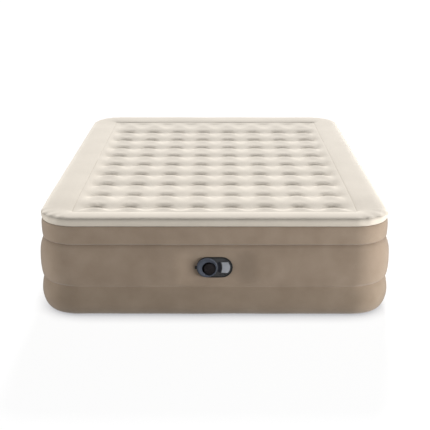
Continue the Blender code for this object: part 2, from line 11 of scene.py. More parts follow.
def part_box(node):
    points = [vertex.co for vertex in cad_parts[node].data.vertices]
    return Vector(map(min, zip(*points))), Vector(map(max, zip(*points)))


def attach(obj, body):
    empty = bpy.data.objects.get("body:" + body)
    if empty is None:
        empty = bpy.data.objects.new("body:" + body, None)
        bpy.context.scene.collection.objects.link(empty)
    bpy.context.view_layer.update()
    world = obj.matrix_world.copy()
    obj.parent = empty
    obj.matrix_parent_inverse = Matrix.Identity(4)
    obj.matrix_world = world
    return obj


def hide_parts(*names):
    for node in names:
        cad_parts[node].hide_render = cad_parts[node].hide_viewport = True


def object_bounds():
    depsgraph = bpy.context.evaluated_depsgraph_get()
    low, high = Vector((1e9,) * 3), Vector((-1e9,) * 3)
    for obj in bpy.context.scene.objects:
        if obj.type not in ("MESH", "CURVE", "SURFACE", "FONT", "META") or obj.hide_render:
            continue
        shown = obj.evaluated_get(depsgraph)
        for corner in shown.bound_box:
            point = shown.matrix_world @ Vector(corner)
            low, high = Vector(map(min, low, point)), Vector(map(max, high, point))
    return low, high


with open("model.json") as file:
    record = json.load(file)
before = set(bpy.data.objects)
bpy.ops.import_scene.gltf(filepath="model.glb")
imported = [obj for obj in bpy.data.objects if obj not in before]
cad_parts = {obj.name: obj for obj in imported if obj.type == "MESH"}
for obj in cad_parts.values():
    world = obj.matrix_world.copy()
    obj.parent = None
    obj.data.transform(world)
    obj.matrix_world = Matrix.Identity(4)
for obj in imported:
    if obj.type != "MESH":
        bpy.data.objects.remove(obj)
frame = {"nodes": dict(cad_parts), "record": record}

# ---------------------------------------------------------------- sizes from the frame
cad_low, cad_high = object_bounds()
WIDTH = cad_high.x - cad_low.x
LENGTH = cad_high.y - cad_low.y
HEIGHT = cad_high.z - cad_low.z
PANEL_LOW, PANEL_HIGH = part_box("top_sheet")
PANEL_X = PANEL_HIGH.x
PANEL_NEAR, PANEL_FAR = PANEL_LOW.y, PANEL_HIGH.y
BORDER_SIDE = WIDTH / 2 - PANEL_X
BORDER_PUMP = PANEL_NEAR + LENGTH / 2
BORDER_HEAD = LENGTH / 2 - PANEL_FAR
CROWN_IN = 0.058                     # the border differs from end to end only inside this
SEAM_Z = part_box("upper_side_wall")[1].z
UPPER_CREASE_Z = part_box("upper_side_wall")[0].z
LOWER_CREASE_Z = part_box("lower_side_wall")[1].z
FOOT_IN = WIDTH / 2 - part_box("bottom_sheet")[1].x
BEZEL_LOW, BEZEL_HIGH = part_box("pump_bezel")
KNOB_LOW, KNOB_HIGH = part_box("control_knob")
KNOB_X = (KNOB_LOW.x + KNOB_HIGH.x) / 2
PUMP_Z = (BEZEL_LOW.z + BEZEL_HIGH.z) / 2
FACE_Y = BEZEL_HIGH.y + 0.0003       # outer face of the wall where the pump holds it flat

CORNER_R = 0.17
PANEL_CORNER_R = 0.012
SEAM_IN = 0.012
UPPER_CREASE_IN = 0.020
LOWER_CREASE_IN = 0.011
DENT_COLUMNS = 8
DENT_ROWS = 9
DENT_PITCH_X = 0.1474
DENT_PITCH_Y = 0.181
ROWS_MIDDLE = (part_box("fibre_tie_panel_1")[0].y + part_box("fibre_tie_panel_9")[1].y) / 2
RIM_Z = 0.4488
SHELL = 0.0006                       # thickness of the vinyl
SHARP = math.radians(32)             # edges that turn more than this are shaded crisp

# ---------------------------------------------------------------- camera
CAMERA_PLACE = (0.007, -4.404, 1.5945)
CAMERA_PITCH = 18.4                  # degrees below the horizon
CAMERA_YAW = 0.09                    # degrees to the left
CAMERA_LENS = 72.3

camera_data = bpy.data.cameras.new("camera")
camera_data.lens = CAMERA_LENS
camera_data.sensor_width = 36.0
camera = bpy.data.objects.new("camera", camera_data)
bpy.context.scene.collection.objects.link(camera)
camera.location = CAMERA_PLACE
camera.rotation_euler = (math.radians(90 - CAMERA_PITCH), 0, math.radians(CAMERA_YAW))
bpy.context.scene.camera = camera


# ---------------------------------------------------------------- materials
def linear(value):
    value = value / 255.0
    return value / 12.92 if value <= 0.04045 else ((value + 0.055) / 1.055) ** 2.4


def colour(red, green, blue):
    return (linear(red), linear(green), linear(blue), 1.0)


def shader_for(name, roughness, metallic=0.0):
    made = bpy.data.materials.new(name)
    made.use_nodes = True
    nodes = made.node_tree.nodes
    shader = nodes["Principled BSDF"]
    shader.inputs["Roughness"].default_value = roughness
    shader.inputs["Metallic"].default_value = metallic
    return made, nodes, made.node_tree.links, shader


def noise_node(nodes, links, scale, detail=2.0, stretch=(1, 1, 1)):
    place = nodes.new("ShaderNodeTexCoord")
    mapping = nodes.new("ShaderNodeMapping")
    mapping.inputs["Scale"].default_value = stretch
    texture = nodes.new("ShaderNodeTexNoise")
    texture.inputs["Scale"].default_value = scale
    texture.inputs["Detail"].default_value = detail
    links.new(place.outputs["Object"], mapping.inputs["Vector"])
    links.new(mapping.outputs["Vector"], texture.inputs["Vector"])
    return texture


def ramp_node(nodes, links, source, low, high, dark, light):
    ramp = nodes.new("ShaderNodeValToRGB")
    ramp.color_ramp.elements[0].position = low
    ramp.color_ramp.elements[1].position = high
    ramp.color_ramp.elements[0].color = dark
    ramp.color_ramp.elements[1].color = light
    links.new(source, ramp.inputs["Fac"])
    return ramp


def bump_node(nodes, links, shader, source, strength, distance, before=None):
    bump = nodes.new("ShaderNodeBump")
    bump.inputs["Strength"].default_value = strength
    bump.inputs["Distance"].default_value = distance
    links.new(source, bump.inputs["Height"])
    if before is not None:
        links.new(before.outputs["Normal"], bump.inputs["Normal"])
    links.new(bump.outputs["Normal"], shader.inputs["Normal"])
    return bump


def flock(name, dark, light, sheen, nap_scale=7.0):
    """Velvety flocked vinyl: cloudy nap, fine fibre grain and a soft sheen."""
    made, nodes, links, shader = shader_for(name, 0.92)
    nap = noise_node(nodes, links, nap_scale, 4.0)
    cloud = ramp_node(nodes, links, nap.outputs["Fac"], 0.34, 0.66, dark, light)
    grain = noise_node(nodes, links, 950.0, 2.0)
    fleck = ramp_node(nodes, links, grain.outputs["Fac"], 0.3, 0.7,
                      (0.93, 0.93, 0.93, 1), (1.06, 1.06, 1.06, 1))
    mix = nodes.new("ShaderNodeMix")
    mix.data_type = "RGBA"
    mix.blend_type = "MULTIPLY"
    mix.inputs["Factor"].default_value = 1.0
    links.new(cloud.outputs["Color"], mix.inputs["A"])
    links.new(fleck.outputs["Color"], mix.inputs["B"])
    links.new(mix.outputs["Result"], shader.inputs["Base Color"])
    shader.inputs["Sheen Weight"].default_value = sheen
    shader.inputs["Sheen Roughness"].default_value = 0.45
    shader.inputs["Specular IOR Level"].default_value = 0.15
    brushed = bump_node(nodes, links, shader, nap.outputs["Fac"], 0.12, 0.004)
    bump_node(nodes, links, shader, grain.outputs["Fac"], 0.35, 0.0006, brushed)
    return made


def moulded(name, base, roughness, grain=0.25, coat=0.0):
    """Injection-moulded plastic with a fine spark-eroded grain."""
    made, nodes, links, shader = shader_for(name, roughness)
    cloud = noise_node(nodes, links, 60.0, 3.0)
    tone = ramp_node(nodes, links, cloud.outputs["Fac"], 0.3, 0.7,
                     tuple(c * 0.90 for c in base[:3]) + (1,), tuple(c * 1.10 for c in base[:3]) + (1,))
    links.new(tone.outputs["Color"], shader.inputs["Base Color"])
    spark = noise_node(nodes, links, 1800.0, 2.0)
    bump_node(nodes, links, shader, spark.outputs["Fac"], grain, 0.0003)
    shader.inputs["Coat Weight"].default_value = coat
    shader.inputs["Coat Roughness"].default_value = 0.25
    return made


def metal(name, base, roughness):
    made, nodes, links, shader = shader_for(name, roughness, 1.0)
    brushed = noise_node(nodes, links, 240.0, 2.0, (1, 12, 1))
    tone = ramp_node(nodes, links, brushed.outputs["Fac"], 0.3, 0.7,
                     tuple(c * 0.8 for c in base[:3]) + (1,), base)
    links.new(tone.outputs["Color"], shader.inputs["Base Color"])
    bump_node(nodes, links, shader, brushed.outputs["Fac"], 0.15, 0.0003)
    return made


def vinyl(name, base, roughness=0.4):
    """Plain calendered vinyl sheet, slightly mottled."""
    made, nodes, links, shader = shader_for(name, roughness)
    cloud = noise_node(nodes, links, 18.0, 3.0)
    tone = ramp_node(nodes, links, cloud.outputs["Fac"], 0.3, 0.7,
                     tuple(c * 0.92 for c in base[:3]) + (1,), base)
    links.new(tone.outputs["Color"], shader.inputs["Base Color"])
    bump_node(nodes, links, shader, cloud.outputs["Fac"], 0.2, 0.002)
    return made


def woven(name, base):
    """Upright fibres of a tie panel."""
    made, nodes, links, shader = shader_for(name, 0.8)
    threads = noise_node(nodes, links, 90.0, 3.0, (8, 1, 0.15))
    tone = ramp_node(nodes, links, threads.outputs["Fac"], 0.35, 0.65,
                     tuple(c * 0.7 for c in base[:3]) + (1,), base)
    links.new(tone.outputs["Color"], shader.inputs["Base Color"])
    bump_node(nodes, links, shader, threads.outputs["Fac"], 0.6, 0.001)
    return made


CREAM = flock("cream_flock", colour(232, 222, 207), colour(238, 228, 213), 0.2, 5.0)
TAUPE = flock("taupe_flock", colour(166, 147, 128), colour(176, 157, 138), 0.45, 9.0)
# The same taupe flock painted about 5 percent darker for the lowest tier: painted shade under the
# overhang of the middle tier.
TAUPE_SHADED_FOOT = flock("taupe_flock_foot_painted_shade", colour(157, 139, 120), colour(167, 149, 130), 0.45, 9.0)
SEAM = flock("seam_weld", colour(128, 113, 98), colour(146, 130, 113), 0.15, 40.0)
CREAM_SEAM = flock("cream_weld", colour(192, 181, 162), colour(208, 198, 180), 0.1, 40.0)
VINYL = vinyl("plain_vinyl", colour(196, 190, 180))
FIBRE = woven("fibre_panel", colour(226, 224, 218))
CHARCOAL = moulded("charcoal_plastic", colour(74, 75, 76), 0.45)
SLATE = moulded("slate_plastic", colour(88, 94, 106), 0.3, 0.15, 0.5)
BLACK = moulded("black_plastic", colour(24, 25, 28), 0.5)
BEZEL = moulded("bezel_plastic", colour(46, 46, 45), 0.5)
GRILLE = moulded("grille_plastic", colour(40, 36, 38), 0.4)
# Dark navy, much darker than the plate: painted shade for the gap between the dial and the cord door.
RECESS_SHADE = moulded("recess_painted_shade", colour(34, 36, 46), 0.5)
LABEL = moulded("label_plastic", colour(176, 180, 186), 0.4, 0.1)
RUBBER = moulded("seal_rubber", colour(36, 36, 36), 0.85, 0.4)
STEEL = metal("steel", colour(186, 188, 192), 0.3)
COPPER = metal("armature_copper", colour(160, 98, 62), 0.4)

SLOT_LOOKS = {
    "cream_flock": CREAM, "taupe_flock": TAUPE, "plain_vinyl": VINYL, "fibre_panel": FIBRE,
    "charcoal_plastic": CHARCOAL, "slate_plastic": SLATE, "black_plastic": BLACK,
    "label_plastic": LABEL, "seal_rubber": RUBBER, "steel": STEEL, "armature": COPPER}


# ---------------------------------------------------------------- mesh helpers
def mesh_object(name, points, faces, look, smooth=True):
    mesh = bpy.data.meshes.new(name)
    mesh.from_pydata([tuple(p) for p in points], [], faces)
    mesh.materials.append(look)
    mesh.polygons.foreach_set("use_smooth", [smooth] * len(mesh.polygons))
    mesh.update()
    made = bpy.data.objects.new(name, mesh)
    bpy.context.scene.collection.objects.link(made)
    return made


def grid_faces(rows, columns, closed):
    faces = []
    last = columns if closed else columns - 1
    for j in range(rows - 1):
        for i in range(last):
            k = (i + 1) % columns
            faces.append((j * columns + i, j * columns + k,
                          (j + 1) * columns + k, (j + 1) * columns + i))
    return faces


def apply_modifiers(made):
    bpy.context.view_layer.update()
    graph = bpy.context.evaluated_depsgraph_get()
    mesh = bpy.data.meshes.new_from_object(made.evaluated_get(graph))
    old = made.data
    made.modifiers.clear()
    made.data = mesh
    bpy.data.meshes.remove(old)
    return made


def thicken(made):
    mod = made.modifiers.new("thickness", "SOLIDIFY")
    mod.thickness = SHELL
    mod.offset = -1.0
    return made


def subdivide(made):
    mod = made.modifiers.new("smooth", "SUBSURF")
    mod.levels = 1
    mod.render_levels = 1
    return made


def place(made, body, slot, *nodes):
    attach(made, body)
    if nodes:
        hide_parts(*nodes)
    return made


def wave(x, y, z, scale, seed=0.0):
    """Smooth noise from -1 to 1 at a place in metres."""
    return noise.noise(Vector((x * scale + seed, y * scale - seed, z * scale)))


def ease(t):
    t = min(max(t, 0.0), 1.0)
    return t * t * (3 - 2 * t)


# ---------------------------------------------------------------- side bands
FRONT_DROP = 0.0085                  # how much lower the border lies at the pump end
FRONT_DROP_FROM, FRONT_DROP_OVER = 0.68, 0.24
SIDE_STEPS_X = 64
SIDE_STEPS_Y = 88
CORNER_STEPS = 18


def outline(inset):
    """Plan outline drawn in by inset, the same number of points whatever the inset."""
    border = min(max(inset / BORDER_SIDE, 0.0), 1.0)
    near = inset * (1 - border) + inset * BORDER_PUMP / BORDER_SIDE * border
    inward = max(inset - CROWN_IN, 0) / (BORDER_SIDE - CROWN_IN)
    far = near + (BORDER_HEAD - BORDER_PUMP) * inward
    radius = CORNER_R * (1 - border) + PANEL_CORNER_R * border
    side = WIDTH / 2 - inset - radius
    low, high = -LENGTH / 2 + near + radius, LENGTH / 2 - far - radius
    centres = [(side, low), (side, high), (-side, high), (-side, low)]
    points = []
    for turn, (cx, cy) in enumerate(centres):
        for step in range(CORNER_STEPS):
            angle = math.radians(-90 + 90 * (turn + step / CORNER_STEPS))
            points.append((cx + radius * math.cos(angle), cy + radius * math.sin(angle)))
        nx, ny = centres[(turn + 1) % 4]
        angle = math.radians(90 * turn)
        ax, ay = cx + radius * math.cos(angle), cy + radius * math.sin(angle)
        bx, by = nx + radius * math.cos(angle), ny + radius * math.sin(angle)
        steps = SIDE_STEPS_Y if turn % 2 == 0 else SIDE_STEPS_X
        for step in range(steps):
            t = step / steps
            points.append((ax + (bx - ax) * t, ay + (by - ay) * t))
    return points


def smooth_profile(points, steps):
    """Catmull-Rom curve through a few (inset, height) points."""
    fixed = [np.array(p, float) for p in points]
    ends = [2 * fixed[0] - fixed[1]] + fixed + [2 * fixed[-1] - fixed[-2]]
    out = []
    for i in range(1, len(ends) - 2):
        a, b, c, d = ends[i - 1:i + 3]
        for step in range(steps):
            t = step / steps
            out.append(0.5 * (2 * b + (c - a) * t + (2 * a - 5 * b + 4 * c - d) * t ** 2
                              + (3 * b - a - 3 * c + d) * t ** 3))
    out.append(fixed[-1])
    return out


def ring_points(profile):
    rows = []
    for inset, z in profile:
        rows.append([(x, y, z) for x, y in outline(inset)])
    return rows


def corner_share(x, y):
    """1 in the middle of a rounded corner, 0 along the straight sides."""
    dx = (abs(x) - (WIDTH / 2 - CORNER_R)) / CORNER_R
    dy = (abs(y) - (LENGTH / 2 - CORNER_R)) / CORNER_R
    return ease(min(dx, dy) * 2.2 + 0.35) if min(dx, dy) > -0.16 else 0.0


def band(name, profile, look, shape):
    """A strip of skin round the bed, pushed along its own normals by shape(point, share)."""
    rows = ring_points(profile)
    count = len(rows[0])
    flat = [p for row in rows for p in row]
    made = mesh_object(name, flat, grid_faces(len(rows), count, True), look)
    push(made, shape, len(rows), count)
    return made


def push(made, shape, rows, count):
    mesh = made.data
    moved = []
    for vert in mesh.vertices:
        share = (vert.index // count) / (rows - 1)
        moved.append(vert.co + vert.normal * shape(vert.co, share))
    for vert, co in zip(mesh.vertices, moved):
        vert.co = co
    mesh.update()


def puckers(point, away, reach, size, scale, seed):
    """Small gathers that run out of a seam and fade with distance from it."""
    fade = math.exp(-away / reach)
    return size * fade * wave(point.x, point.y, 0.0, scale, seed)


def slack(point):
    """How far the lower girdle seam stands out between the corners, where it pulls least."""
    return 0.0055 * (1 - corner_share(point.x, point.y))


def wall_shape(seed, height, slack_at):
    """Soft unevenness of an inflated wall, with gathers at both of its seams."""
    def shape(point, share):
        corner = corner_share(point.x, point.y)
        eased = slack(point) * math.exp(-((share - slack_at) * height / 0.022) ** 2)
        swell = 0.0011 * wave(point.x, point.y, point.z * 0.6, 5.0, seed)
        low = puckers(point, share * height, 0.020, 0.0007 + 0.0022 * corner, 22.0, seed + 3)
        high = puckers(point, (1 - share) * height, 0.022, 0.0007 + 0.0028 * corner, 20.0, seed + 7)
        free = math.sin(math.pi * share)
        return (swell + low + high) * min(free * 4, 1.0) + eased
    return shape


def front_drop(y, z):
    """The border lies a little lower at the pump end."""
    near = np.clip((-y - FRONT_DROP_FROM) / FRONT_DROP_OVER, 0, 1)
    return FRONT_DROP * near * near * (3 - 2 * near) * np.clip((z - SEAM_Z) / (HEIGHT - SEAM_Z), 0, 1)


def border_shape(point, share):
    """Plain border: gathers at the corners and a faint swell along the sides."""
    corner = corner_share(point.x, point.y)
    angle = math.atan2(abs(point.y) - (LENGTH / 2 - CORNER_R), abs(point.x) - (WIDTH / 2 - CORNER_R))
    fold = math.sin(angle * 17 + 4 * wave(point.x, point.y, 0, 4.0, 2.0))
    swell = 0.0012 * wave(point.x, point.y, 0.0, 4.5, 9.0)
    free = min(share * 5, (1 - share) * 7, 1.0)
    gather = 0.0016 * corner * fold * math.exp(-((share - 0.30) / 0.22) ** 2)
    inner = puckers(point, (1 - share) * 0.15, 0.018, 0.0008, 26.0, 5.0)
    return (swell + gather + inner) * max(free, 0.0)


MIDDLE_POINTS = [
    (LOWER_CREASE_IN + 0.001, LOWER_CREASE_Z + 0.0006), (0.0035, 0.153), (-0.0010, 0.172),
    (-0.0035, 0.205), (-0.0035, 0.245), (-0.0010, 0.280), (0.0060, 0.308), (0.0135, 0.321),
    (UPPER_CREASE_IN + 0.003, UPPER_CREASE_Z - 0.0006)]
UPPER_POINTS = [
    (UPPER_CREASE_IN + 0.003, UPPER_CREASE_Z), (0.0125, 0.3325), (0.0100, 0.346),
    (0.0090, 0.370), (0.0095, 0.395), (0.0125, 0.406), (SEAM_IN + 0.003, SEAM_Z)]
LOWER_POINTS = [
    (FOOT_IN - 0.001, 0.0012), (0.039, 0.0028), (0.0225, 0.0105), (0.0115, 0.0230),
    (0.0030, 0.042), (-0.0025, 0.070), (-0.0020, 0.100), (0.0025, 0.124),
    (LOWER_CREASE_IN + 0.001, LOWER_CREASE_Z)]
BORDER_POINTS = [
    (SEAM_IN + 0.003, SEAM_Z + 0.0003), (0.0125, 0.4152), (0.0104, 0.4230), (0.0090, 0.4320),
    (0.0105, 0.4415), (0.0170, 0.4490), (0.0310, 0.4542), (0.0520, 0.4564), (0.0740, 0.4568),
    (0.0960, 0.4562), (0.1180, 0.4548), (0.1360, 0.4524), (0.1450, 0.4505),
    (BORDER_SIDE, RIM_Z)]


def pump_hold(x, z):
    """1 where the rigid pump keeps the wall flat, fading to 0 around it."""
    dx = max(abs(x) - 0.084, 0.0) / 0.100
    dz = max(abs(z - PUMP_Z) - 0.052, 0.0) / 0.045
    return 0.5 + 0.5 * math.cos(math.pi * min(math.hypot(dx, dz), 1.0))


def stadium(half_x, half_z, steps=24):
    straight = half_x - half_z
    points = []
    for side, start in ((1, -90), (-1, 90)):
        for step in range(steps + 1):
            angle = math.radians(start + 180 * step / steps)
            points.append((side * straight + half_z * math.cos(angle), half_z * math.sin(angle)))
    return points


def prism(name, points, y_low, y_high, look, centre=(0.0, 0.0)):
    """A flat outline in XZ, drawn between two depths along Y."""
    count = len(points)
    verts = [(x + centre[0], y_low, z + centre[1]) for x, z in points]
    verts += [(x + centre[0], y_high, z + centre[1]) for x, z in points]
    faces = [tuple(range(count)), tuple(range(2 * count - 1, count - 1, -1))]
    faces += [(i, i + count, (i + 1) % count + count, (i + 1) % count) for i in range(count)]
    made = mesh_object(name, verts, faces, look, False)
    bm = bmesh.new()
    bm.from_mesh(made.data)
    bmesh.ops.recalc_face_normals(bm, faces=bm.faces)
    bm.to_mesh(made.data)
    bm.free()
    return made


def subtract(made, cutter):
    mod = made.modifiers.new("cut", "BOOLEAN")
    mod.operation = "DIFFERENCE"
    mod.solver = "EXACT"
    mod.object = cutter
    apply_modifiers(made)
    bpy.data.objects.remove(cutter)
    return made


def middle_wall():
    """Middle tier, held flat and cut open where the pump sits."""
    profile = smooth_profile(MIDDLE_POINTS, 3)
    made = band("middle_side_skin", profile, TAUPE, wall_shape(21.0, UPPER_CREASE_Z - LOWER_CREASE_Z, 0))
    for vert in made.data.vertices:
        if vert.co.y < -LENGTH / 2 + 0.03:
            hold = pump_hold(vert.co.x, vert.co.z)
            vert.co.y += (FACE_Y - vert.co.y) * hold
    subdivide(made)
    thicken(made)
    apply_modifiers(made)
    hole = prism("wall_hole", stadium(0.0745, 0.0435), FACE_Y - 0.03, FACE_Y + 0.03, TAUPE,
                 (0.0, PUMP_Z))
    subtract(made, hole)
    made.data.set_sharp_from_angle(angle=SHARP)
    place(made, "root", "taupe_flock", "middle_side_wall", "pump_wall_patch")


def side_bands():
    upper = band("upper_side_skin", smooth_profile(UPPER_POINTS, 3), TAUPE,
                 wall_shape(4.0, SEAM_Z - UPPER_CREASE_Z, 9))
    # The lowest tier wears the taupe flock painted darker as shade.
    lower = band("lower_side_skin", smooth_profile(LOWER_POINTS, 3), TAUPE_SHADED_FOOT,
                 wall_shape(40.0, LOWER_CREASE_Z, 1))
    border = band("border_skin", smooth_profile(BORDER_POINTS, 4), CREAM, border_shape)
    for vert in border.data.vertices:
        vert.co.z -= front_drop(vert.co.y, vert.co.z)
    for made, slot, node in ((upper, "taupe_flock", "upper_side_wall"),
                             (lower, "taupe_flock", "lower_side_wall"),
                             (border, "cream_flock", "top_border")):
        subdivide(made)
        thicken(made)
        apply_modifiers(made)
        made.data.set_sharp_from_angle(angle=SHARP)
        place(made, "root", slot, node)
    middle_wall()


def seam_ring(name, inset, z, radius, look, slot):
    """A thin weld bead that runs right round the bed."""
    curve = bpy.data.curves.new(name, "CURVE")
    curve.dimensions = "3D"
    curve.bevel_depth = radius
    curve.bevel_resolution = 2
    points = outline(inset)
    spline = curve.splines.new("POLY")
    spline.points.add(len(points) - 1)
    for knot, (x, y) in zip(spline.points, points):
        knot.co = (x, y, z - front_drop(y, z) + 0.0005 * wave(x, y, z, 14.0, 1.0), 1)
    spline.use_cyclic_u = True
    made = bpy.data.objects.new(name, curve)
    bpy.context.scene.collection.objects.link(made)
    curve.materials.append(look)
    place(made, "root", slot)


def seams():
    seam_ring("seam_bead_top", SEAM_IN + 0.0016, SEAM_Z, 0.0011, SEAM, "taupe_flock")
    seam_ring("seam_bead_upper", UPPER_CREASE_IN + 0.0018, UPPER_CREASE_Z, 0.0012, SEAM,
              "taupe_flock")
    seam_ring("seam_bead_lower", LOWER_CREASE_IN + 0.0022, LOWER_CREASE_Z + 0.0003, 0.0010, SEAM,
              "taupe_flock")
    seam_ring("seam_bead_panel", BORDER_SIDE - 0.0004, RIM_Z - 0.0008, 0.0012, CREAM_SEAM,
              "cream_flock")


# ---------------------------------------------------------------- quilted top
QUILT_STEP = 0.0062
CREST_Z = 0.4486                     # top of the puffs by the border
SAG = 0.0095                         # how much lower the middle of the panel lies
SAG_OVER = 0.45                      # it sags down to that over this length from each end
PANEL_DROP = 0.6                     # share of the border's drop that the puffs follow
DENT = 0.0172                        # from the top of a puff to the welded strip
RISE = 0.20                          # share of a pitch in which the near side rises from it
LEDGE = 0.60                         # share of a pitch after which the puff falls to the next
DISH = 0.0034                        # how far a puff falls before that, dishing its top
DISH_OVER = 0.4                      # share of a pitch in which it does
STEEPEN = 2.7                        # how the fall steepens towards the strip
GENTLE = 0.0060                      # depth of the swell between two columns of dents
RIDGE = -0.0008                      # top of that swell against the puffs: just below them
GARLAND = 0.19                       # share of a pitch that swell lags behind the dents
SPINDLE = 1.05                       # how quickly a dent narrows towards its ends
STRIP_HALF = 0.022                   # half length of the welded strip that stays put
MARGIN = 0.050                       # the panel eases down to its seam over this width
SIM_FRAMES = 12
SIM_REACH = 0.0005                   # how far the simulation may move a point


def grid_line(low, high, middle, pitch, count):
    """Even spacing from low to high that has a line exactly on every row of dents."""
    per = 2 * round(pitch / QUILT_STEP / 2)
    reach = (count - 1) / 2 * pitch
    inner = np.linspace(middle - reach, middle + reach, per * (count - 1) + 1)
    before = np.linspace(low, inner[0], round((inner[0] - low) / QUILT_STEP) + 1)
    after = np.linspace(inner[-1], high, round((high - inner[-1]) / QUILT_STEP) + 1)
    return np.concatenate([before[:-1], inner, after[1:]])


def to_dent(values, pitch, count):
    """Offset from the nearest row or column of dents."""
    index = np.clip(np.round(values / pitch + (count - 1) / 2), 0, count - 1)
    return values - (index - (count - 1) / 2) * pitch


def smooth_step(t):
    """0 to 1 with level ends."""
    t = np.clip(t, 0, 1)
    return t * t * (3 - 2 * t)


def quilt_height(x, y):
    """Spindle-shaped dents hung in garlands: steep just in front, long and gentle behind."""
    across = to_dent(x, DENT_PITCH_X, DENT_COLUMNS) / DENT_PITCH_X
    near = 0.5 + 0.5 * np.cos(2 * np.pi * across)
    past = (DENT_ROWS - 1) / 2 - (y - ROWS_MIDDLE) / DENT_PITCH_Y - GARLAND * (1 - near) ** 1.5
    past = np.maximum(past, RISE - 1)
    past = past - np.floor(past)
    swell = RIDGE - GENTLE * (0.5 + 0.5 * np.cos(2 * np.pi * past))
    fall = np.clip((past - LEDGE) / (1 - LEDGE), 0, 1) ** STEEPEN
    dish = DISH * smooth_step((past - RISE) / DISH_OVER)
    dent = -DENT * (1 - smooth_step(past / RISE)) - dish - (DENT - DISH) * fall
    spindle = near ** SPINDLE
    to_end = np.minimum(y - PANEL_NEAR, PANEL_FAR - y)
    crest = CREST_Z - SAG * smooth_step(to_end / SAG_OVER) - PANEL_DROP * front_drop(y, CREST_Z)
    height = crest + dent * spindle + swell * (1 - spindle)
    edge = smooth_step(np.minimum(PANEL_X - np.abs(x), to_end) / MARGIN)
    rim = RIM_Z - front_drop(y, RIM_Z)
    return rim * (1 - edge) + height * edge


def quilt():
    """Top panel: flocked sheet blown up between the strips of the tie panels."""
    xs = grid_line(-PANEL_X, PANEL_X, 0.0, DENT_PITCH_X, DENT_COLUMNS)
    ys = grid_line(PANEL_NEAR, PANEL_FAR, ROWS_MIDDLE, DENT_PITCH_Y, DENT_ROWS)
    x, y = [a.ravel() for a in np.meshgrid(xs, ys)]
    z = quilt_height(x, y)
    strip = ((np.abs(to_dent(y - ROWS_MIDDLE, DENT_PITCH_Y, DENT_ROWS)) < QUILT_STEP * 0.3)
             & (np.abs(to_dent(x, DENT_PITCH_X, DENT_COLUMNS)) < STRIP_HALF))
    ends = (y < PANEL_NEAR + 1e-6) | (y > PANEL_FAR - 1e-6)
    rim = (np.abs(x) > PANEL_X - 1e-6) | ends
    held = np.flatnonzero(strip | rim).tolist()
    made = mesh_object("quilted_top", np.stack([x, y, z], 1), grid_faces(len(ys), len(xs), False),
                       CREAM)
    blow_up(made, held)
    subdivide(made)
    thicken(made)
    apply_modifiers(made)
    made.data.set_sharp_from_angle(angle=SHARP)
    place(made, "root", "cream_flock", "top_sheet")
    return made


def blow_up(made, held):
    """Cloth simulation under pressure, applied to the mesh with a cap on its reach."""
    before = np.array([v.co for v in made.data.vertices])
    group = made.vertex_groups.new(name="held")
    group.add(held, 1.0, "REPLACE")
    mod = made.modifiers.new("cloth", "CLOTH")
    settings = mod.settings
    settings.quality = 5
    settings.mass = 0.25
    settings.air_damping = 3.0
    settings.tension_stiffness = 22
    settings.compression_stiffness = 22
    settings.shear_stiffness = 8
    settings.bending_stiffness = 0.5
    settings.tension_damping = 8
    settings.compression_damping = 8
    settings.shear_damping = 8
    settings.bending_damping = 1.0
    settings.vertex_group_mass = "held"
    settings.pin_stiffness = 1.0
    settings.use_pressure = True
    settings.uniform_pressure_force = 2.5
    settings.shrink_min = -0.006
    settings.effector_weights.gravity = 0.0
    mod.collision_settings.use_collision = False
    mod.collision_settings.use_self_collision = False
    mod.point_cache.frame_start = 1
    mod.point_cache.frame_end = SIM_FRAMES
    scene = bpy.context.scene
    for step in range(1, SIM_FRAMES + 1):
        scene.frame_set(step)
    apply_modifiers(made)
    scene.frame_set(1)
    after = np.array([v.co for v in made.data.vertices])
    move = after - before
    size = np.linalg.norm(move, axis=1, keepdims=True)
    capped = before + move * (SIM_REACH / np.maximum(size, SIM_REACH))
    made.data.vertices.foreach_set("co", capped.ravel())
    made.data.update()


# ---------------------------------------------------------------- pump face
WELL_X, WELL_Z, WELL_R = 0.0075, -0.0050, 0.0290       # the dial's eccentric well
GRILLE_X, GRILLE_Z, GRILLE_R = 0.0105, -0.0060, 0.0245
GRILLE_RINGS = 6
RIM_RINGS = 3


def turned(name, profile, look, shift_x=0.0, shift_z=0.0, steps=96):
    """Solid of revolution about the dial axis: points are (radius, distance off the wall)."""
    count = len(profile)
    verts, faces = [], []
    for step in range(steps):
        angle = math.tau * step / steps
        verts += [(KNOB_X + shift_x + radius * math.cos(angle), FACE_Y - out,
                   PUMP_Z + shift_z + radius * math.sin(angle)) for radius, out in profile]
    for step in range(steps):
        here, there = step * count, (step + 1) % steps * count
        faces += [(here + i, there + i, there + i + 1, here + i + 1) for i in range(count - 1)]
    made = mesh_object(name, verts, faces, look)
    return tidy_solid(made)


def tidy_solid(made):
    """Merge doubled points, face everything outward and keep the crisp edges crisp."""
    bm = bmesh.new()
    bm.from_mesh(made.data)
    bmesh.ops.remove_doubles(bm, verts=bm.verts, dist=1e-6)
    bmesh.ops.dissolve_limit(bm, angle_limit=math.radians(0.5), verts=bm.verts, edges=bm.edges)
    bmesh.ops.recalc_face_normals(bm, faces=bm.faces)
    bm.to_mesh(made.data)
    bm.free()
    made.data.polygons.foreach_set("use_smooth", [True] * len(made.data.polygons))
    made.data.set_sharp_from_angle(angle=SHARP)
    return made


def refine(node, body, slot, rounding, look):
    """The CAD piece with its edges rounded."""
    source = frame["nodes"][node]
    mesh = source.data.copy()
    mesh.transform(source.matrix_world)
    mesh.materials.clear()
    mesh.materials.append(look)
    made = bpy.data.objects.new(node + "_finish", mesh)
    bpy.context.scene.collection.objects.link(made)
    tidy_solid(made)
    mod = made.modifiers.new("rounding", "BEVEL")
    mod.width = rounding
    mod.segments = 2
    mod.limit_method = "ANGLE"
    mod.angle_limit = math.radians(40)
    mod.harden_normals = True
    apply_modifiers(made)
    return place(made, body, slot, node)


